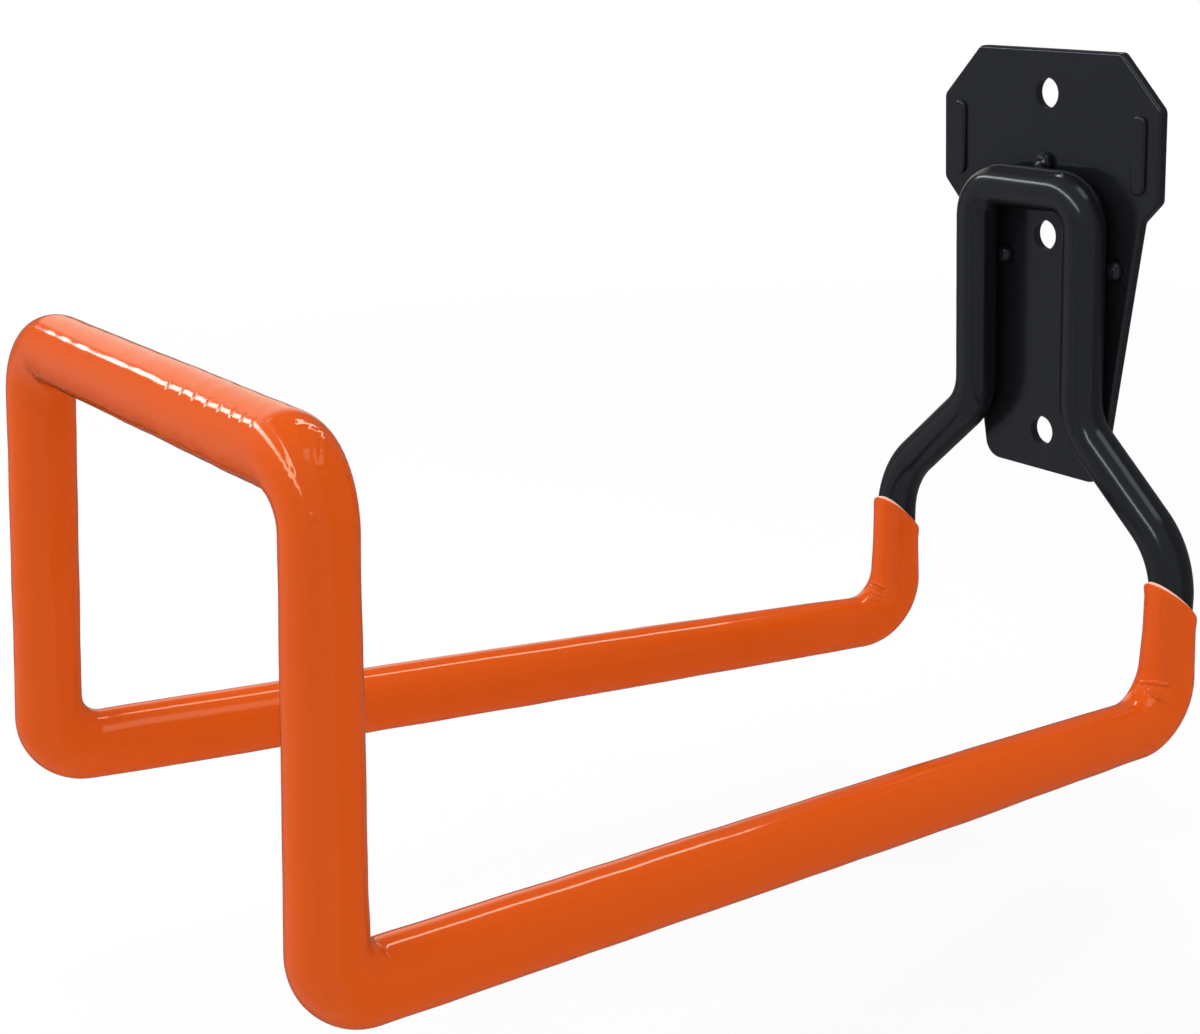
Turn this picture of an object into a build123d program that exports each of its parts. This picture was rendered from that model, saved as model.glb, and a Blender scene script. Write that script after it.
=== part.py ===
from build123d import *
import os
from math import radians, sqrt, tan

# A garage wall hook: a stamped wall plate, one round bar bent into a closed loop and welded to
# the plate's front, a soft grip sleeve over the loop, and the weld beads between bar and plate.
# Millimetres. X points right as seen from the room, Y into the wall and Z up. The origin lies on
# the plate's back face, midway between the top and the bottom screw hole.

# Wall plate, stamped from flat sheet
plate_thickness = 2.1
plate_width = 65.0
hole_diameter = 6.8
hole_spacing = 77.0
middle_hole_rise = 7.0
end_margin = 9.5
head_height = 30.8
corner_cut = 11.4
stem_step = 4.7
foot_width = 35.4
corner_round = 2.0
foot_round = 4.5
edge_round = 0.7

# Beads pressed into the plate's head, raised in front and hollow behind
bead_length = 17.0
bead_width = 3.8
bead_height = 0.9
bead_side = 0.2
bead_wall = 0.9
bead_spacing = 54.0
bead_drop = 21.0

# Bent bar, along the corners of its centreline from the crown to the crossbar
bar_diameter = 9.5
leg_spacing = 33.0
crown_clearance = 3.05
leg_drop = 51.2
splay_drop = 24.5
rear_spacing = 88.4
rear_drop = 37.5
rear_lean = 1.5
reach = 214.0
rail_rise = 18.0
front_spacing = 125.0
front_height = 85.0
front_lean = 8.0
crossbar_spacing = 119.0

# Inside radius of each bend, on the bare bar above and on the sleeve below
crown_inside = 3.0
splay_inside = 8.0
shoulder_inside = 16.0
rear_inside = 4.4
front_inside = 0.8
crossbar_inside = 4.4

# Grip sleeve, dipped on front first: thinner along the rear uprights, with a slanted dip line
sleeve_wall = 2.1
sleeve_rear_wall = 1.45
sleeve_end_wall = 0.95
sleeve_plain = 1.0
rail_taper = 60.0
dip_setback = 0.5
dip_slant = 43.0

# Weld beads, by how far each one bites into the side of the bar
crown_weld_bite = 0.6
leg_weld_bite = 0.3
leg_weld_drop = 16.7

# Heights and radii that follow from these
plate_top = hole_spacing / 2 + end_margin
hole_heights = (hole_spacing / 2, middle_hole_rise, -hole_spacing / 2)
bar_radius = bar_diameter / 2
sleeve_radius = bar_radius + sleeve_wall
rear_radius = bar_radius + sleeve_rear_wall
end_radius = bar_radius + sleeve_end_wall
bar_y = -plate_thickness - bar_radius
weld_gap = bar_radius * (sqrt(2) - 1)
crown_z = middle_hole_rise + hole_diameter / 2 + crown_clearance + bar_radius
splay_z = crown_z - leg_drop
shoulder_z = splay_z - splay_drop
rear_z = shoulder_z - rear_drop
front_y = bar_y - rear_lean - reach
front_z = rear_z + rail_rise
crossbar_y = front_y + front_lean
crossbar_z = front_z + front_height

# Corners of the bar's right half, from the middle of the crown to the middle of the crossbar
crown_middle = Vector(0, bar_y, crown_z)
crown_corner = Vector(leg_spacing / 2, bar_y, crown_z)
splay_corner = Vector(leg_spacing / 2, bar_y, splay_z)
shoulder_corner = Vector(rear_spacing / 2, bar_y, shoulder_z)
rear_corner = Vector(rear_spacing / 2, bar_y - rear_lean, rear_z)
front_corner = Vector(front_spacing / 2, front_y, front_z)
crossbar_corner = Vector(crossbar_spacing / 2, crossbar_y, crossbar_z)
crossbar_middle = Vector(0, crossbar_y, crossbar_z)

# Centreline radius of each bend
crown_bend = crown_inside + bar_radius
splay_bend = splay_inside + bar_radius
shoulder_bend = shoulder_inside + bar_radius
rear_bend = rear_inside + rear_radius
front_bend = front_inside + sleeve_radius
crossbar_bend = crossbar_inside + sleeve_radius


def both_sides(half):
    # The right half joined with its mirror image
    return half + mirror(half, about=Plane.YZ)


def bend_start(bend, before, corner, after):
    # Distance from a corner of the centreline to where its bend begins
    turn = (corner - before).get_angle(after - corner)
    return bend * tan(radians(turn / 2))


def wall_plate():
    side = plate_width / 2
    head_foot = plate_top - head_height
    right = [
        (side - corner_cut, plate_top),
        (side, plate_top - corner_cut),
        (side, head_foot),
        (side - stem_step, head_foot - stem_step),
        (foot_width / 2, -plate_top),
    ]
    left = [(-x, z) for x, z in reversed(right)]
    rounds = [corner_round] * 4 + [foot_round] * 2 + [corner_round] * 4
    outline = make_face(FilletPolyline(*right, *left, radius=rounds, close=True))
    plate = extrude(Plane.XZ * outline, amount=plate_thickness)
    plate = fillet(plate.faces().sort_by(Axis.Y)[0].edges(), edge_round)
    front = Plane.XZ.offset(plate_thickness)
    for x in (-bead_spacing / 2, bead_spacing / 2):
        place = Location((x, plate_top - bead_drop))
        raised = front * place * SlotOverall(bead_length, bead_width, rotation=90)
        bead = extrude(raised, amount=bead_height)
        plate += fillet(bead.faces().sort_by(Axis.Y)[0].edges(), bead_height - bead_side)
        pressed = SlotOverall(bead_length - 2 * bead_wall, bead_width - 2 * bead_wall, rotation=90)
        plate -= extrude(Plane.XZ * place * pressed, amount=bead_height)
    for z in hole_heights:
        plate -= extrude(Plane.XZ * Location((0, z)) * Circle(hole_diameter / 2), amount=plate_thickness)
    return plate


def hook_bar():
    path = FilletPolyline(
        crown_middle, crown_corner, splay_corner, shoulder_corner,
        rear_corner, front_corner, crossbar_corner, crossbar_middle,
        radius=[crown_bend, splay_bend, shoulder_bend, rear_bend, front_bend, crossbar_bend],
    )
    return both_sides(sweep(Plane(crown_middle, z_dir=(1, 0, 0)) * Circle(bar_radius), path=path))


def tapered(start_radius, full_radius, length):
    # A straight stretch of the sleeve along which its wall grows
    return Cone(start_radius, full_radius, length, align=(Align.CENTER, Align.CENTER, Align.MIN))


def grip_sleeve(bar):
    down = (rear_corner - shoulder_corner).normalized()
    forward = (front_corner - rear_corner).normalized()
    run_top = bend_start(shoulder_bend, splay_corner, shoulder_corner, rear_corner)
    run_foot = bend_start(rear_bend, shoulder_corner, rear_corner, front_corner)
    splay_middle = (splay_corner + shoulder_corner) / 2
    upright_top = shoulder_corner + down * (run_top + sleeve_plain)
    upright_foot = rear_corner - down * (run_foot + sleeve_plain)
    rail_rear = rear_corner + forward * (run_foot + sleeve_plain)
    rail_full = rail_rear + forward * rail_taper
    end_path = FilletPolyline(splay_middle, shoulder_corner, upright_top, radius=[shoulder_bend])
    rear_path = FilletPolyline(upright_foot, rear_corner, rail_rear, radius=[rear_bend])
    front_path = FilletPolyline(
        rail_full, front_corner, crossbar_corner, crossbar_middle, radius=[front_bend, crossbar_bend]
    )
    end_start = Plane(splay_middle, z_dir=shoulder_corner - splay_corner)
    half = sweep(end_start * Circle(end_radius), path=end_path)
    upright_length = (upright_foot - upright_top).length
    half += Plane(upright_top, z_dir=down) * tapered(end_radius, rear_radius, upright_length)
    half += sweep(Plane(upright_foot, z_dir=down) * Circle(rear_radius), path=rear_path)
    half += Plane(rail_rear, z_dir=forward) * tapered(rear_radius, sleeve_radius, rail_taper)
    half += sweep(Plane(rail_full, z_dir=forward) * Circle(sleeve_radius), path=front_path)
    dip_point = shoulder_corner + down * (run_top + dip_setback)
    dip_line = Plane(dip_point, x_dir=(1, 0, 0), z_dir=Vector(0, 0, 1).rotate(Axis.X, -dip_slant))
    return both_sides(split(half, bisect_by=dip_line, keep=Keep.BOTTOM)) - bar


def weld_dome(x, z, bite):
    # On the plate's front face, level with the side of the bar that it holds
    dome = Sphere(weld_gap + bite, arc_size1=0, align=(Align.CENTER, Align.CENTER, Align.MIN))
    return Plane.XZ.offset(plate_thickness) * Pos(x, z) * dome


def weld_beads(bar):
    leg_weld_z = crown_z - leg_weld_drop
    domes = [weld_dome(0, crown_z + bar_radius, crown_weld_bite)]
    for leg in (-leg_spacing / 2, leg_spacing / 2):
        for side in (leg - bar_radius, leg + bar_radius):
            domes.append(weld_dome(side, leg_weld_z, leg_weld_bite))
    return Compound(children=[dome - bar for dome in domes])


bar = hook_bar()
nodes = {
    "wall_plate": wall_plate(),
    "hook_bar": bar,
    "grip_sleeve": grip_sleeve(bar),
    "weld_beads": weld_beads(bar),
}

os.makedirs("parts", exist_ok=True)
for name, shape in nodes.items():
    export_step(shape, f"parts/{name}.step")
    print(name, len(shape.solids()), "solids", round(shape.volume), "mm3")
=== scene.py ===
import bisect
import bmesh
import math
import bpy
from mathutils import Matrix, Vector, noise


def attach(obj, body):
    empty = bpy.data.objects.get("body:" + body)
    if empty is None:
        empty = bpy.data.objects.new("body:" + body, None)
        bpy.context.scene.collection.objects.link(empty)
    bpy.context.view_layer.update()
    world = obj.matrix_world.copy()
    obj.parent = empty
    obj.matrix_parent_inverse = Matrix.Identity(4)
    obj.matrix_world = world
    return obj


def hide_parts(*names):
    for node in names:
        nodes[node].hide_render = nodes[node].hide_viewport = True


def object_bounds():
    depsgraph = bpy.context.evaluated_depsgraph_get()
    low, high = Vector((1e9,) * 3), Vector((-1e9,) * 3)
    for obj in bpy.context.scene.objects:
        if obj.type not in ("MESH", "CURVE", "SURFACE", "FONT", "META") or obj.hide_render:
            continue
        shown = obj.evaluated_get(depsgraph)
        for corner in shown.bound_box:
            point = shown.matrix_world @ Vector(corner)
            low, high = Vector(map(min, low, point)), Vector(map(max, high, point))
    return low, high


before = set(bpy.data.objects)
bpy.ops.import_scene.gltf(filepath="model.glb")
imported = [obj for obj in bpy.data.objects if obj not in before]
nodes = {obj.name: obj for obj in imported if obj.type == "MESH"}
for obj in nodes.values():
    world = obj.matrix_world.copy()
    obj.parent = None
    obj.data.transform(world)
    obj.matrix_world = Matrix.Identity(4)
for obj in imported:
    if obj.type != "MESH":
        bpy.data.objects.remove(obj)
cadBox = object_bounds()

mm = 0.001
scene = bpy.context.scene
scene.view_settings.view_transform = "Standard"
print("frame loaded:", ", ".join(sorted(nodes)))


# Small helpers

def linear(hexColour):
    # sRGB hex to the linear colour that Blender's sockets take
    parts = [int(hexColour[i:i + 2], 16) / 255 for i in (1, 3, 5)]
    return [c / 12.92 if c <= 0.04045 else ((c + 0.055) / 1.055) ** 2.4 for c in parts] + [1]


def addNode(tree, kind, settings=None, inputs=None, links=None):
    # One node with its settings, fixed inputs and incoming links
    node = tree.nodes.new(kind)
    for name, value in (settings or {}).items():
        setattr(node, name, value)
    for name, value in (inputs or {}).items():
        node.inputs[name].default_value = value
    for name, source in (links or {}).items():
        tree.links.new(source, node.inputs[name])
    return node


def newMaterial(name):
    material = bpy.data.materials.new(name)
    material.use_nodes = True
    material.node_tree.nodes.clear()
    return material, material.node_tree


def meshObject(name, points, faces, material):
    mesh = bpy.data.meshes.new(name)
    mesh.from_pydata(points, [], faces)
    mesh.validate()
    mesh.polygons.foreach_set("use_smooth", [True] * len(mesh.polygons))
    mesh.materials.append(material)
    obj = bpy.data.objects.new(name, mesh)
    scene.collection.objects.link(obj)
    return obj


def smooth(low, high, value):
    t = min(max((value - low) / (high - low), 0), 1)
    return t * t * (3 - 2 * t)


# The bar's centreline in millimetres: the corners of its right half, from crown to crossbar

barLine = {
    "corners": [
        (0, -6.85, 18.2),       # middle of the crown
        (16.5, -6.85, 18.2),    # crown to leg
        (16.5, -6.85, -33.0),   # leg to splay
        (44.2, -6.85, -57.5),   # splay to rear upright
        (44.2, -8.35, -95.0),   # rear upright to rail
        (62.5, -222.35, -77.0), # rail to front upright
        (59.5, -214.35, 8.0),   # front upright to crossbar
        (0, -214.35, 8.0),      # middle of the crossbar
    ],
    "bends": [7.75, 12.75, 20.75, 10.6, 7.65, 11.25],   # radius at each corner between the ends
    "barRadius": 4.75,
    "runStep": 1.6,             # spacing of the rings along straight runs and round bends
    "bendStep": 0.45,
    "leastInBend": 6,           # rings that even a slight bend gets
}


def roundedHalf(line):
    # Stations from the crown's middle to the crossbar's: point, tangent, and which bend it is in
    corners = [Vector(c) for c in line["corners"]]
    stations = []

    def run(start, end):
        count = max(int((end - start).length / line["runStep"]), 1)
        way = (end - start).normalized()
        for i in range(count):
            stations.append((start.lerp(end, i / count), way, None))

    last = corners[0]
    for i, radius in enumerate(line["bends"]):
        before, corner, after = corners[i:i + 3]
        into = (corner - before).normalized()
        out = (after - corner).normalized()
        turn = into.angle(out)
        reach = radius * math.tan(turn / 2)
        start = corner - into * reach
        run(last, start)
        inward = (out - into * into.dot(out)).normalized()
        centre = start + inward * radius
        count = max(int(radius * turn / line["bendStep"]), line["leastInBend"])
        for k in range(count):
            a = turn * k / count
            point = centre - inward * radius * math.cos(a) + into * radius * math.sin(a)
            way = into * math.cos(a) + inward * math.sin(a)
            stations.append((point, way, i))
        last = corner + out * reach
    run(last, corners[-1])
    return stations


def wholeLoop(half):
    # The right half and its mirror image as one closed run of stations, starting at the crown
    flip = Vector((-1, 1, 1))
    end = Vector(barLine["corners"][-1])
    middle = [(end, Vector((-1, 0, 0)), None)]
    back = [(p * flip, -(t * flip), bend) for p, t, bend in reversed(half[1:])]
    return half + middle + back


def ringFrames(stations):
    # Two axes across the run at each station, carried along without twisting
    side = stations[0][1].orthogonal().normalized()
    frames = []
    for point, way, bend in stations:
        side = (side - way * side.dot(way)).normalized()
        frames.append((side.copy(), way.cross(side)))
    return frames


loop = wholeLoop(roundedHalf(barLine))
loopFrames = ringFrames(loop)
print("centreline:", len(loop), "stations")


# Materials

def powderCoat(name, hexColour, roughness):
    # Epoxy powder baked on steel: a satin skin with a fine orange peel, which breaks up reflections
    grain = 0.35                # peel spacing in mm, drawn coarser than it is so that it shows
    material, tree = newMaterial(name)
    place = addNode(tree, "ShaderNodeTexCoord")
    peel = addNode(tree, "ShaderNodeTexNoise", inputs={"Scale": 1 / (grain * 2 * mm), "Detail": 3},
                   links={"Vector": place.outputs["Object"]})
    bump = addNode(tree, "ShaderNodeBump", inputs={"Strength": 0.25, "Distance": 0.05 * mm},
                   links={"Height": peel.outputs["Fac"]})
    shader = addNode(tree, "ShaderNodeBsdfPrincipled",
                     inputs={"Base Color": linear(hexColour), "Roughness": roughness, "IOR": 1.55,
                             "Specular Tint": linear("#e8f0ff")},
                     links={"Normal": bump.outputs["Normal"]})
    addNode(tree, "ShaderNodeOutputMaterial", links={"Surface": shader.outputs["BSDF"]})
    return material


def dippedVinyl(name, hexColour, lipHighlightColour):
    # Plastisol PVC that the hot bar was dipped in: glossy and soft, a little wavy where it ran
    # before it set. Its lip at the dip line gets a painted highlight, a pale colour along the edge.
    flowSpacing = 9.0           # mm between the swells that running left
    skinSpacing = 0.8           # fine grain of the set skin, drawn coarser so that it shows
    material, tree = newMaterial(name)
    place = addNode(tree, "ShaderNodeTexCoord")
    # Painted highlight: a point attribute mixes the pale second colour in along the dip line's edge
    lipHighlight = addNode(tree, "ShaderNodeAttribute", {"attribute_name": "lipHighlight"})
    colour = addNode(tree, "ShaderNodeMix", {"data_type": "RGBA"},
                     {6: linear(hexColour), 7: linear(lipHighlightColour)}, {0: lipHighlight.outputs["Fac"]})
    flow = addNode(tree, "ShaderNodeTexNoise", inputs={"Scale": 1 / (flowSpacing * mm), "Detail": 2},
                   links={"Vector": place.outputs["Object"]})
    wavy = addNode(tree, "ShaderNodeBump", inputs={"Strength": 0.18, "Distance": 0.15 * mm},
                   links={"Height": flow.outputs["Fac"]})
    grain = addNode(tree, "ShaderNodeTexNoise", inputs={"Scale": 1 / (skinSpacing * mm), "Detail": 2},
                    links={"Vector": place.outputs["Object"]})
    bump = addNode(tree, "ShaderNodeBump", inputs={"Strength": 0.12, "Distance": 0.03 * mm},
                   links={"Height": grain.outputs["Fac"], "Normal": wavy.outputs["Normal"]})
    shader = addNode(tree, "ShaderNodeBsdfPrincipled",
                     inputs={"Roughness": 0.10, "IOR": 1.53, "Specular Tint": linear("#ffe8c4")},
                     links={"Base Color": colour.outputs[2], "Normal": bump.outputs["Normal"]})
    addNode(tree, "ShaderNodeOutputMaterial", links={"Surface": shader.outputs["BSDF"]})
    return material


blackCoat = powderCoat("black powder coat", "#131417", 0.17)
# The second colour is a painted highlight along the dip line's edge
orangeVinyl = dippedVinyl("orange dipped PVC", "#cc4e0e", "#ffcdb8")


# A point of the centreline at any length along it, for the pieces that follow the bar

def lengthsAlong(stations):
    lengths = [0.0]
    for (p, t, b), (q, u, c) in zip(stations, stations[1:]):
        lengths.append(lengths[-1] + (q - p).length)
    return lengths


loopLengths = lengthsAlong(loop)


def stationAt(length):
    # Point, direction and the two axes across, between the two nearest stations
    i = min(max(bisect.bisect_right(loopLengths, length) - 1, 0), len(loop) - 2)
    t = (length - loopLengths[i]) / (loopLengths[i + 1] - loopLengths[i])
    point = loop[i][0].lerp(loop[i + 1][0], t)
    way = loop[i][1].lerp(loop[i + 1][1], t).normalized()
    side = loopFrames[i][0].lerp(loopFrames[i + 1][0], t).normalized()
    return point, way, side, way.cross(side)


def bridge(faces, lower, upper, count):
    # Quads between two rings of points, given by the index of each ring's first point
    for k in range(count):
        j = (k + 1) % count
        faces.append((lower + k, lower + j, upper + j, upper + k))


def closeLoop(faces, points, lower, upper, count):
    # The last ring meets the first one, turned to whichever of its points lies nearest
    near = min(range(count), key=lambda k: (points[upper + k] - points[lower]).length)
    for k in range(count):
        j = (k + 1) % count
        faces.append((lower + k, lower + j, upper + (near + j) % count, upper + (near + k) % count))


# Bar: one round bar, bare from the crown to the dip lines and hidden in the grip beyond them

bentBar = {
    "around": 72,
    "bareStep": 0.7,            # ring spacing where the bar shows, and where the grip hides it
    "hiddenStep": 3.0,
    "bareEnds": (118, 850),     # lengths along the loop between which it is hidden
    "unevenness": 0.02,         # how far the coat stands up and down
    "unevenScale": 4.0,
}


def buildBar():
    around = bentBar["around"]
    low, high = bentBar["bareEnds"]
    total = loopLengths[-1] + (loop[0][0] - loop[-1][0]).length
    points, faces = [], []
    length = 0.0
    while length < total - bentBar["bareStep"] / 2:
        point, way, side, rise = stationAt(length)
        for k in range(around):
            a = 2 * math.pi * k / around
            out = side * math.cos(a) + rise * math.sin(a)
            skin = point + out * barLine["barRadius"]
            lift = noise.noise(skin / bentBar["unevenScale"]) * bentBar["unevenness"]
            points.append((skin + out * (lift - bentBar["unevenness"] / 2)) * mm)
        length += bentBar["hiddenStep"] if low < length < high else bentBar["bareStep"]
    rings = len(points) // around
    for i in range(rings - 1):
        bridge(faces, i * around, (i + 1) * around, around)
    closeLoop(faces, points, (rings - 1) * around, 0, around)
    return meshObject("bentBar", points, faces, blackCoat)


bar = buildBar()
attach(bar, "root")
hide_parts("hook_bar")
print("bar:", len(bar.data.polygons), "faces")


# Grip: the dip coat over the loop, thin and slanted at its two ends

grip = {
    "wall": 2.1,
    "rearWall": 1.45,
    "endWall": 0.95,
    "taperTop": -74.0,          # heights on the rear upright between which the wall grows
    "taperFoot": -90.0,
    "railRear": -20.3,          # and the stretch of the rail along which it grows to the full wall
    "railFull": -79.9,
    "dipHeight": -67.3,         # the dip line where it crosses the upright's axis
    "dipY": -7.2,
    "dipSlant": 43.0,
    "lipRound": 0.7,            # the dip line's rounded edge, and the bead of run-back behind it
    "lipBead": 0.08,
    "lipBeadPlace": 1.5,
    "lipBeadWidth": 0.9,
    "lipHighlightFade": (0.10, 0.40),    # distances behind the dip line over which its painted highlight fades
    "lipPlain": 3.0,            # and up to which its unevenness grows to the full
    "lipRings": [               # ring places behind each dip line
        0, 0.04, 0.1, 0.18, 0.28, 0.4, 0.55, 0.75, 1.0, 1.3, 1.6, 2.0, 2.5, 3.0, 3.6, 4.3, 5.0,
    ],
    "lipRingGap": 0.3,          # least distance from them to the other rings
    "around": 104,
    "boreRings": 80,
    "halvings": 40,             # steps in the search for the dip line
    "shearReach": 26.0,         # how far from the dip line its slant still shows in the rings
    "upperLimit": -54.0,        # at the wall, bare bar above this height and coat below the next
    "lowerLimit": -83.0,
    "rearLimit": -25.0,         # and all coat in front of this place
    "sag": 0.10,                # slow unevenness of the wall, and how far apart its swells are
    "sagScale": 9.0,
    "ringSteps": [              # ring spacing, up to each length along the loop
        (126, 1.0), (128.5, 0.5), (137, 0.22), (144, 0.5), (338, 2.2), (353, 0.4), (418, 2.2),
        (436, 0.28), (471, 0.25), (533, 1.2), (553, 0.5), (617, 2.2), (632, 0.6), (826, 2.2),
        (830, 0.5), (841, 0.22), (846, 0.5), (900, 1.0),
    ],
    # Marks, each from one place to another: length along the loop in mm and angle round it in
    # degrees. The stretch is the coat's own length there for a millimetre of the centreline.
    "marks": [
        # gathers in the near and the far rear bend, where the coat is squeezed
        {"stretch": 0.5, "width": 0.30, "lift": 0.32, "lines": [
            (131.9, 143, 129.7, 91), (134.0, 121, 134.6, 108), (133.7, 110, 134.1, 93),
            (134.5, 100, 134.0, 82), (838.4, 121, 838.4, 162), (836.6, 129, 837.1, 163),
            (833.9, 133, 835.1, 162), (831.7, 151, 832.9, 169)]},
        # ribs that run over the near top corner, and folds inside both top corners
        {"stretch": 1.3, "width": 0.6, "lift": 0.13, "lines": [
            (434.2, 2, 426.7, -2), (432.1, 24, 427.5, 11), (430.8, 42, 426.7, 24),
            (429.6, 52, 426.7, 34)]},
        {"stretch": 0.6, "width": 0.35, "lift": 0.14, "lines": [
            (434.1, -78, 428.3, -66), (432.8, -88, 428.3, -78), (531.9, -80, 530.1, -90)]},
        # a crease inside the near bottom corner and a nick under the crossbar
        {"stretch": 0.4, "width": 0.30, "lift": -0.22, "lines": [(345.5, 135, 341.7, 95)]},
        {"stretch": 1.0, "width": 0.40, "lift": -0.18, "lines": [(470.2, -71, 470.3, -86)]},
        # grooves across the crossbar's front by the near corner, which cut its streak into beads
        {"stretch": 1.0, "width": 0.42, "lift": -0.065, "lines": [
            (437.4, -2, 436.6, -14), (441.0, -3, 440.6, -13), (445.0, -2, 444.4, -14),
            (449.6, -3, 449.0, -13), (454.0, -2, 453.6, -14), (459.4, -3, 458.8, -13),
            (464.2, -2, 463.8, -14), (469.8, -3, 469.4, -13)]},
        # small bubbles
        {"stretch": 0.8, "width": 0.55, "lift": 0.30, "lines": [
            (129.4, 89, 129.4, 89), (837.6, 173, 837.6, 173), (421.7, 5.3, 421.7, 5.3)]},
    ],
    "markReach": 3,             # in widths, how far from its line a mark still shows
    "markGroove": 1.2,          # how deep the grooves beside a ridge are
    # Ripples across the coat: where they are, their wavelength and their height
    "ripples": [
        {"from": 436, "to": 468, "wave": 9.0, "lift": 0.02},
        {"from": 468, "to": 534, "wave": 11.0, "lift": 0.02},
        {"from": 423, "to": 434, "wave": 1.1, "lift": 0.022},
    ],
    "rippleFade": 4,            # length over which a band of ripples comes and goes
    "rippleDrift": 0.7,         # how far they stray, in waves, and over what length
    "rippleDriftScale": 14,
    # Inside corners that the coat partly filled before it set: bend, side and added radius
    "pools": [(3, 1, 2.8), (4, 1, 2.4), (4, -1, 3.8), (3, -1, 1.7)],
    "poolReach": 35,            # how far from the bend's centre the coat can move
    "poolFade": 5,              # length of the fade along either run, in added radii
    "poolInner": 0.1,           # where round the bar the inner side begins, by its cosine
    # How much thicker or thinner than its even wall the coat set, by length along the loop
    "girth": [
        (122, 0), (135, 0.2), (335, 0.15), (350, 0), (365, -0.2), (420, -0.55), (434, 0), (530, 0),
        (556, -0.2), (612, -0.2), (640, 0.3), (705, 0.35), (770, 0.1), (820, 0.2), (842, 0),
    ],
}


def poolCorner(bend):
    # The bend's centre, its ways in and out, and half of its turn
    before, corner, after = [Vector(c) for c in barLine["corners"][bend:bend + 3]]
    into, out = (corner - before).normalized(), (after - corner).normalized()
    half = into.angle(out) / 2
    inward = (out - into).normalized()
    return corner + inward * barLine["bends"][bend] / math.cos(half), into, out, inward, half


def poolShift(point, across):
    # How far the coat's inner side moves, along the run and across it, to make a corner rounder
    for bend, side, grow in grip["pools"]:
        flip = Vector((side, 1, 1))
        centre, into, out, inward, half = poolCorner(bend)
        spoke = point * flip - centre
        if spoke.length > grip["poolReach"]:
            continue
        fade = grip["poolFade"] * grow
        before, after = -spoke.dot(into), spoke.dot(out)
        if before > 0 and before > after:
            inner = (out - into * into.dot(out)).normalized()
            shift = into * -math.tan(half) * (1 - smooth(0, fade, before))
        elif after > 0:
            inner = (out * out.dot(into) - into).normalized()
            shift = out * math.tan(half) * (1 - smooth(0, fade, after))
        else:
            inner = -spoke.normalized()
            shift = inward / math.cos(half) - inner
        share = smooth(grip["poolInner"], 1, (across * flip).dot(inner))
        return shift * grow * share * flip
    return Vector((0, 0, 0))


def gripWall(point):
    # Even wall at a place: thin at the dip line, thicker down the upright and along the rail
    if point.y < grip["railRear"]:
        t = min((point.y - grip["railRear"]) / (grip["railFull"] - grip["railRear"]), 1)
        return grip["rearWall"] + (grip["wall"] - grip["rearWall"]) * t
    t = min(max((grip["taperTop"] - point.z) / (grip["taperTop"] - grip["taperFoot"]), 0), 1)
    return grip["endWall"] + (grip["rearWall"] - grip["endWall"]) * t


def girthAt(length):
    # Departure from that wall, eased between the places that are given
    for (s1, lift1), (s2, lift2) in zip(grip["girth"], grip["girth"][1:]):
        if s1 <= length < s2:
            return lift1 + (lift2 - lift1) * smooth(s1, s2, length)
    return 0


def belowDip(point):
    # How far a point lies below the slanted dip line, measured down the upright
    slope = math.tan(math.radians(grip["dipSlant"]))
    return grip["dipHeight"] - slope * (point.y - grip["dipY"]) - point.z


def dipLength(angle, low, high):
    # Length along the loop at which the coat's surface meets the dip line, by halving
    sign = 1 if belowDip(stationAt(high)[0]) > 0 else -1
    for step in range(grip["halvings"]):
        middle = (low + high) / 2
        point, way, side, rise = stationAt(middle)
        out = side * math.cos(angle) + rise * math.sin(angle)
        if belowDip(point + out * (barLine["barRadius"] + grip["endWall"])) * sign > 0:
            high = middle
        else:
            low = middle
    return (low + high) / 2


def lipProfile(depth):
    # Share of the wall that stands at a distance behind the dip line
    t = min(max(depth / grip["lipRound"], 0), 1)
    return math.sqrt(1 - (1 - t) ** 2)


def gripRings(first, last):
    # Ring places: close together behind each dip line, then as the step list says
    rings = [first + e for e in grip["lipRings"]]
    end = [last - e for e in reversed(grip["lipRings"])]
    for limit, step in grip["ringSteps"]:
        while rings[-1] + step < min(limit, end[0] - grip["lipRingGap"]):
            rings.append(rings[-1] + step)
    return rings + end


def markLift(length, angle, mark, radius):
    # Height of a mark's lines at a place: a ridge with a shallow groove on either side
    lift = 0.0
    for s1, a1, s2, a2 in mark["lines"]:
        turn = (angle - a1 + 180) % 360 - 180
        x, y = (length - s1) * mark["stretch"], math.radians(turn) * radius
        dx, dy = (s2 - s1) * mark["stretch"], math.radians(a2 - a1) * radius
        span = dx * dx + dy * dy
        t = min(max((x * dx + y * dy) / span, 0), 1) if span else 0
        d = math.hypot(x - dx * t, y - dy * t) / mark["width"]
        if d < grip["markReach"]:
            lift += mark["lift"] * (1 - grip["markGroove"] * d * d) * math.exp(-d * d)
    return lift


def coatLift(length, angle, skin, radius):
    # Everything that makes the coat's surface uneven, in mm
    lift = grip["sag"] * noise.noise(skin / grip["sagScale"]) - grip["sag"] / 2
    fade = grip["rippleFade"]
    for ripple in grip["ripples"]:
        start, end = ripple["from"], ripple["to"]
        share = smooth(start, start + fade, length) * (1 - smooth(end - fade, end, length))
        if share:
            stray = grip["rippleDrift"] * noise.noise(skin / grip["rippleDriftScale"])
            phase = length / ripple["wave"] + stray
            lift += ripple["lift"] * share * math.sin(2 * math.pi * phase)
    for mark in grip["marks"]:
        lift += markLift(length, math.degrees(angle), mark, radius)
    return lift


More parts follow.
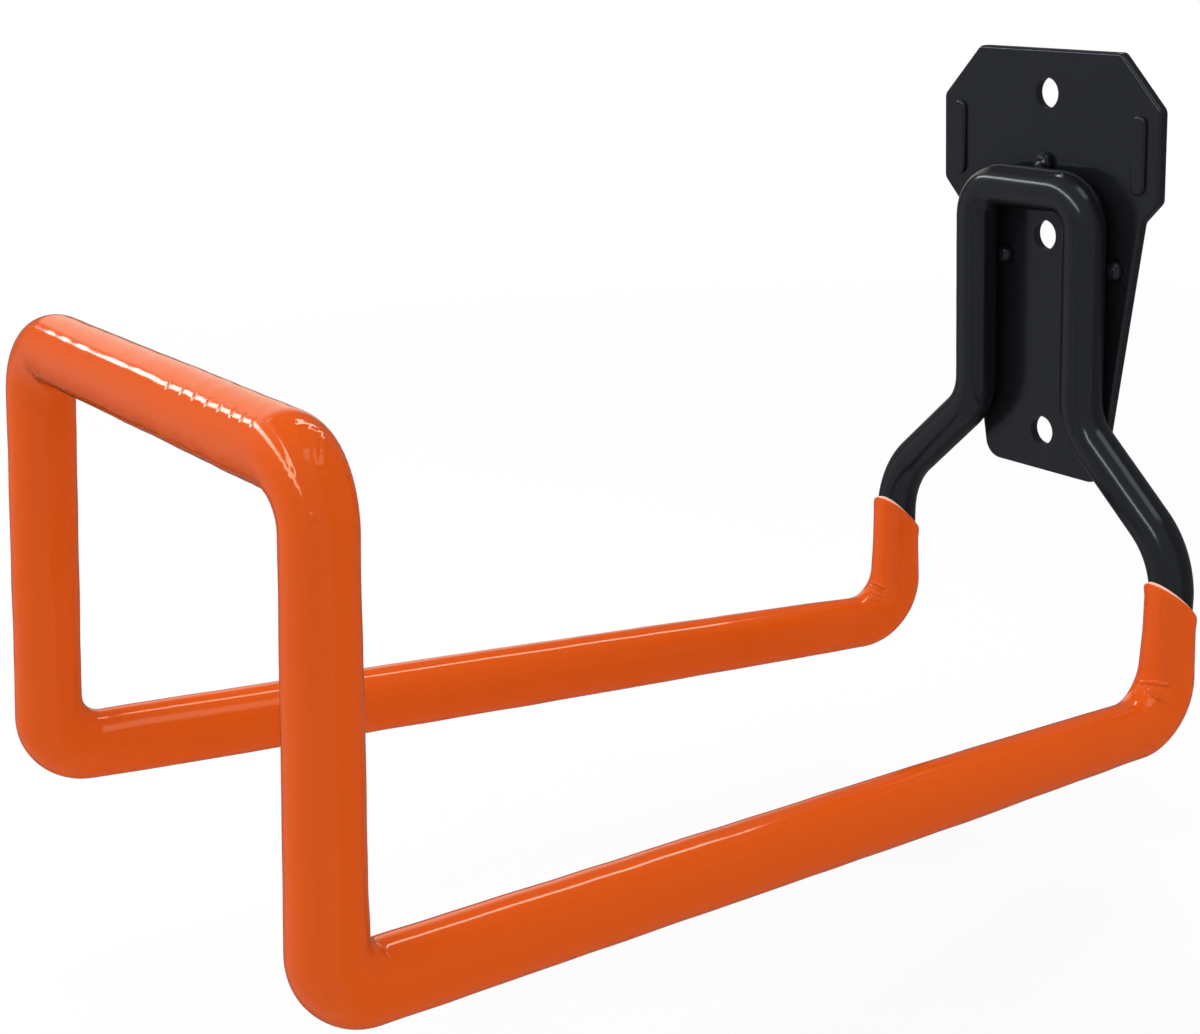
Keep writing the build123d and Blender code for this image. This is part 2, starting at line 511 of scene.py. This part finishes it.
def buildGrip():
    around = grip["around"]
    angles = [2 * math.pi * k / around for k in range(around)]
    upper, lower, rear = grip["upperLimit"], grip["lowerLimit"], grip["rearLimit"]
    bare = [l for l, (p, t, b) in zip(loopLengths, loop) if p.y > rear and p.z > upper]
    coated = [l for l, (p, t, b) in zip(loopLengths, loop) if p.y < rear or p.z < lower]
    top = max(l for l in bare if l < coated[0])
    foot = min(l for l in bare if l > coated[-1])
    starts = [dipLength(a, top, coated[0]) for a in angles]
    ends = [dipLength(a, coated[-1], foot) for a in angles]
    first = sum(starts) / around
    last = sum(ends) / around
    points, faces, pale = [], [], []
    for place in gripRings(first, last):
        near, far = place - first, last - place
        nearShear = 1 - smooth(0, grip["shearReach"], near)
        farShear = 1 - smooth(0, grip["shearReach"], far)
        depth = min(near, far)
        for k, a in enumerate(angles):
            length = place + (starts[k] - first) * nearShear + (ends[k] - last) * farShear
            point, way, side, rise = stationAt(length)
            out = side * math.cos(a) + rise * math.sin(a)
            wall = (gripWall(point) + girthAt(length)) * lipProfile(depth)
            behind = (depth - grip["lipBeadPlace"]) / grip["lipBeadWidth"]
            wall += grip["lipBead"] * math.exp(-behind ** 2)
            radius = barLine["barRadius"] + wall
            skin = point + out * radius
            skin += out * coatLift(length, a, skin, radius) * smooth(0, grip["lipPlain"], depth)
            skin += poolShift(point, out)
            points.append(skin * mm)
            # Share of the painted highlight: full at the dip line's edge, fading behind it
            pale.append(1 - smooth(*grip["lipHighlightFade"], depth))
    boreStep = (last - first) / grip["boreRings"]
    for i in range(grip["boreRings"] - 1, 0, -1):
        point, way, side, rise = stationAt(first + boreStep * i)
        for a in angles:
            out = side * math.cos(a) + rise * math.sin(a)
            points.append((point + out * barLine["barRadius"]) * mm)
            pale.append(0)
    rings = len(points) // around
    for i in range(rings):
        bridge(faces, i * around, ((i + 1) % rings) * around, around)
    coat = meshObject("gripCoat", points, faces, orangeVinyl)
    # That share drives the material's painted highlight colour
    coat.data.attributes.new("lipHighlight", "FLOAT", "POINT").data.foreach_set("value", pale)
    return coat


gripCoat = buildGrip()
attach(gripCoat, "root")
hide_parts("grip_sleeve")
gripCoat.visible_glossy = False     # the photograph shows no orange in the black coat
print("grip:", len(gripCoat.data.polygons), "faces")


# Welds: lumps of weld metal between the bar and the plate, under the same coat

welds = {
    "plateFace": -2.1,
    "crown": (0, 22.95, 2.57),  # x, z and radius
    "tackHeight": 1.5,
    "tackSides": (-21.25, -11.75, 11.75, 21.25),
    "tackRadius": 2.27,
    "around": 56,
    "rings": 18,
    "height": 0.95,             # share of the radius that a lump stands out
    "rough": 0.16,              # unevenness of its outline and its top, and the scale of each
    "outlineScale": 1.3,
    "topScale": 0.9,
    "lumpShift": 0.37,          # step in the noise from lump to lump, so that no two are alike
    "sidePower": 3.2,           # steepness of the sides, flatness of the top, evenness of the rim
    "topPower": 0.55,
    "rimPower": 4,
    "merge": 0.001 * mm,        # points of the top ring closer than this become one
}


def weldLump(points, faces, x, z, radius):
    # One lump: a steep-sided button with a wavy top, closed by a flat face on the plate
    around, rings = welds["around"], welds["rings"]
    start = len(points)
    for i in range(rings + 1):
        t = 1 - i / rings                       # 1 at the foot, 0 at the top
        for k in range(around):
            a = 2 * math.pi * k / around
            foot = Vector((math.cos(a), math.sin(a), welds["lumpShift"] * x))
            edge = noise.noise(foot * welds["outlineScale"])
            wide = radius * t * (1 + welds["rough"] * edge * t)
            spot = Vector((x + wide * math.cos(a), 0, z + wide * math.sin(a)))
            tall = radius * welds["height"] * (1 - t ** welds["sidePower"]) ** welds["topPower"]
            wave = noise.noise(spot * welds["topScale"])
            tall += welds["rough"] * radius * wave * (1 - t ** welds["rimPower"])
            spot.y = welds["plateFace"] - max(tall, 0)
            points.append(spot * mm)
    for i in range(rings):
        bridge(faces, start + (i + 1) * around, start + i * around, around)
    faces.append(tuple(start + k for k in range(around)))


def buildWelds():
    points, faces = [], []
    weldLump(points, faces, *welds["crown"])
    for x in welds["tackSides"]:
        weldLump(points, faces, x, welds["tackHeight"], welds["tackRadius"])
    lumps = meshObject("weldLumps", points, faces, blackCoat)
    merge = bmesh.new()
    merge.from_mesh(lumps.data)
    bmesh.ops.remove_doubles(merge, verts=merge.verts, dist=welds["merge"])
    bmesh.ops.recalc_face_normals(merge, faces=merge.faces)
    merge.to_mesh(lumps.data)
    merge.free()
    return lumps


weldLumps = buildWelds()
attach(weldLumps, "root")
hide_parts("weld_beads")
print("welds:", len(weldLumps.data.polygons), "faces")

# The plate keeps its CAD mesh and gets the coat

plate = nodes["wall_plate"]
plate.data.materials.clear()
plate.data.materials.append(blackCoat)
print("plate:", len(plate.data.polygons), "faces")


# Camera at the photograph's viewpoint

view = {
    "place": (0.331833, -0.343800, 0.0910),
    "right": (0.56136, 0.82621, -0.04737),
    "up": (-0.22134, 0.20505, 0.95339),
    "lens": 62.53,
    "sensor": 36,
    "clipStart": 0.01,
}


def addCamera():
    data = bpy.data.cameras.new("camera")
    data.lens = view["lens"]
    data.sensor_width = view["sensor"]
    data.clip_start = view["clipStart"]
    camera = bpy.data.objects.new("camera", data)
    right = Vector(view["right"]).normalized()
    back = right.cross(Vector(view["up"])).normalized()
    up = back.cross(right)
    turn = Matrix((right, up, back)).transposed()
    camera.matrix_world = Matrix.Translation(view["place"]) @ turn.to_4x4()
    scene.collection.objects.link(camera)
    scene.camera = camera


addCamera()
print("camera placed, lens", view["lens"])


# Stage: white paper under the hook, a white surround, soft lamps, and what the coats mirror

stage = {
    "floorDrop": 40 * mm,       # floor below the hook's lowest point
    "floorSize": 30.0,
    "paperGlow": 0.85,          # share and level of the white that the camera sees whatever the shade
    "paperWhite": 0.956,
    "paperFade": (0.30, 0.90),  # distances from the hook between which the paper fades to plain white
    "ambient": 0.44,            # level of the surround on matt surfaces
    "roomDark": 0.12,           # the room that the coats mirror: dark behind, brighter in front
    "roomFront": 0.31,
    "frontWay": (0.225, -0.974, 0),
    "frontEdge": (-0.05, 0.2),  # cosines to that way between which it brightens
    "wallGlow": 0.9,            # and a pale wall on the far left, above the long strip lamp
    "wallWay": (-1, 0, 0),
    "wallEdge": (0.74, 0.88),
    "wallTop": (0.254, 0.625, 0.731),
    "wallTopEdge": (0.0, 0.06),
}
lampAim = Vector((0, -140, -30)) * mm

lamps = {
    # place in metres, way of the long side, width, height, brightness, and whether the coats mirror it
    "long strip": ((-0.34, -0.78, 0.565), (0.84, -0.51, 0.14), 2.05, 0.10, 8.0, True),
    "rear strip": ((-0.25, 0.17, 0.45), (0, 1, 0), 0.36, 0.06, 7.0, True),
    "ceiling": ((0.45, 0.10, 1.05), (1, 0, 0), 0.5, 0.5, 1.4, True),
    "top softbox": ((0.1, -0.05, 1.3), (1, 0, 0), 1.0, 1.0, 2.2, False),
    "key softbox": ((-0.7, -0.75, 0.75), (0.7, -0.7, 0), 0.9, 0.7, 3.2, False),
    "right fill": ((0.9, 0.8, 0.3), (0.7, -0.7, 0), 1.0, 1.0, 1.7, False),
    "camera fill": ((1.1, -1.05, 0.55), (0.7, 0.7, 0), 1.6, 1.6, 0.40, False),
}


def whitePaper(name):
    # Matt backdrop paper, which the camera sees as white with the hook's soft shade on it
    material, tree = newMaterial(name)
    ray = addNode(tree, "ShaderNodeLightPath")
    place = addNode(tree, "ShaderNodeNewGeometry")
    away = addNode(tree, "ShaderNodeVectorMath", {"operation": "DISTANCE"}, {1: lampAim},
                   {0: place.outputs["Position"]})
    near, far = stage["paperFade"]
    glow, level = [
        addNode(tree, "ShaderNodeMapRange", {"interpolation_type": "SMOOTHSTEP"},
                {"From Min": near, "From Max": far, "To Min": least, "To Max": 1.0},
                {"Value": away.outputs["Value"]})
        for least in (stage["paperGlow"], stage["paperWhite"])]
    paper = addNode(tree, "ShaderNodeBsdfDiffuse", inputs={"Color": linear("#f4f4f4")})
    white = addNode(tree, "ShaderNodeEmission", links={"Strength": level.outputs["Result"]})
    share = addNode(tree, "ShaderNodeMath", {"operation": "MULTIPLY"},
                    links={0: ray.outputs["Is Camera Ray"], 1: glow.outputs["Result"]})
    seen = addNode(tree, "ShaderNodeMixShader",
                   links={0: share.outputs[0], 1: paper.outputs[0], 2: white.outputs[0]})
    addNode(tree, "ShaderNodeOutputMaterial", links={"Surface": seen.outputs[0]})
    return material


def addFloor():
    half = stage["floorSize"] / 2
    z = cadBox[0][2] - stage["floorDrop"]
    corners = [(-half, -half, z), (half, -half, z), (half, half, z), (-half, half, z)]
    floor = meshObject("floor", corners, [(0, 1, 2, 3)], whitePaper("white paper"))
    floor.visible_glossy = False


def addWorld():
    # White for the camera, a softer white for matt surfaces, and the room for the glossy coats
    world = bpy.data.worlds.new("white surround")
    scene.world = world
    world.use_nodes = True
    tree = world.node_tree
    tree.nodes.clear()
    ray = addNode(tree, "ShaderNodeLightPath")
    way = addNode(tree, "ShaderNodeTexCoord")
    front, above, far = [
        addNode(tree, "ShaderNodeVectorMath", {"operation": "DOT_PRODUCT"}, {1: stage[aim]},
                {0: way.outputs["Generated"]})
        for aim in ("frontWay", "wallTop", "wallWay")]
    low, high = stage["frontEdge"]
    room = addNode(tree, "ShaderNodeMapRange", {"interpolation_type": "SMOOTHSTEP"},
                   {"From Min": low, "From Max": high, "To Min": stage["roomDark"],
                    "To Max": stage["roomFront"]}, {"Value": front.outputs["Value"]})
    low, high = stage["wallTopEdge"]
    overStrip = addNode(tree, "ShaderNodeMapRange", inputs={"From Min": low, "From Max": high},
                        links={"Value": above.outputs["Value"]})
    low, high = stage["wallEdge"]
    onWall = addNode(tree, "ShaderNodeMapRange", {"interpolation_type": "SMOOTHSTEP"},
                     {"From Min": low, "From Max": high, "To Max": stage["wallGlow"]},
                     {"Value": far.outputs["Value"]})
    wall = addNode(tree, "ShaderNodeMath", {"operation": "MULTIPLY"},
                   links={0: overStrip.outputs["Result"], 1: onWall.outputs["Result"]})
    soft = addNode(tree, "ShaderNodeBackground", inputs={"Strength": stage["ambient"]})
    white = addNode(tree, "ShaderNodeBackground", inputs={"Strength": 1.0})
    dark = addNode(tree, "ShaderNodeBackground", links={"Strength": room.outputs["Result"]})
    pale = addNode(tree, "ShaderNodeBackground", links={"Strength": wall.outputs[0]})
    for shown in (soft, white, dark):
        shown.inputs["Color"].default_value = linear("#ffffff")
    pale.inputs["Color"].default_value = linear("#fff3dc")
    mirrored = addNode(tree, "ShaderNodeAddShader", links={0: dark.outputs[0], 1: pale.outputs[0]})
    seen = addNode(tree, "ShaderNodeMath", {"operation": "MAXIMUM"},
                   links={0: ray.outputs["Is Camera Ray"], 1: ray.outputs["Is Transmission Ray"]})
    lit = addNode(tree, "ShaderNodeMixShader",
                  links={0: ray.outputs["Is Glossy Ray"], 1: soft.outputs[0], 2: mirrored.outputs[0]})
    mix = addNode(tree, "ShaderNodeMixShader",
                  links={0: seen.outputs[0], 1: lit.outputs[0], 2: white.outputs[0]})
    addNode(tree, "ShaderNodeOutputWorld", links={"Surface": mix.outputs[0]})


def addLamp(name, place, along, width, height, brightness, mirrored):
    data = bpy.data.lights.new(name, "AREA")
    data.shape = "RECTANGLE"
    data.size, data.size_y = width, height
    data.energy = brightness * math.pi * width * height     # as bright at any size
    lamp = bpy.data.objects.new(name, data)
    back = (Vector(place) - lampAim).normalized()
    across = Vector(along)
    across = (across - back * across.dot(back)).normalized()
    turn = Matrix((across, back.cross(across), back)).transposed()
    lamp.matrix_world = Matrix.Translation(place) @ turn.to_4x4()
    lamp.visible_glossy = mirrored
    scene.collection.objects.link(lamp)


addFloor()
addWorld()
for name, settings in lamps.items():
    addLamp(name, *settings)
print("stage set:", len(lamps), "lamps")
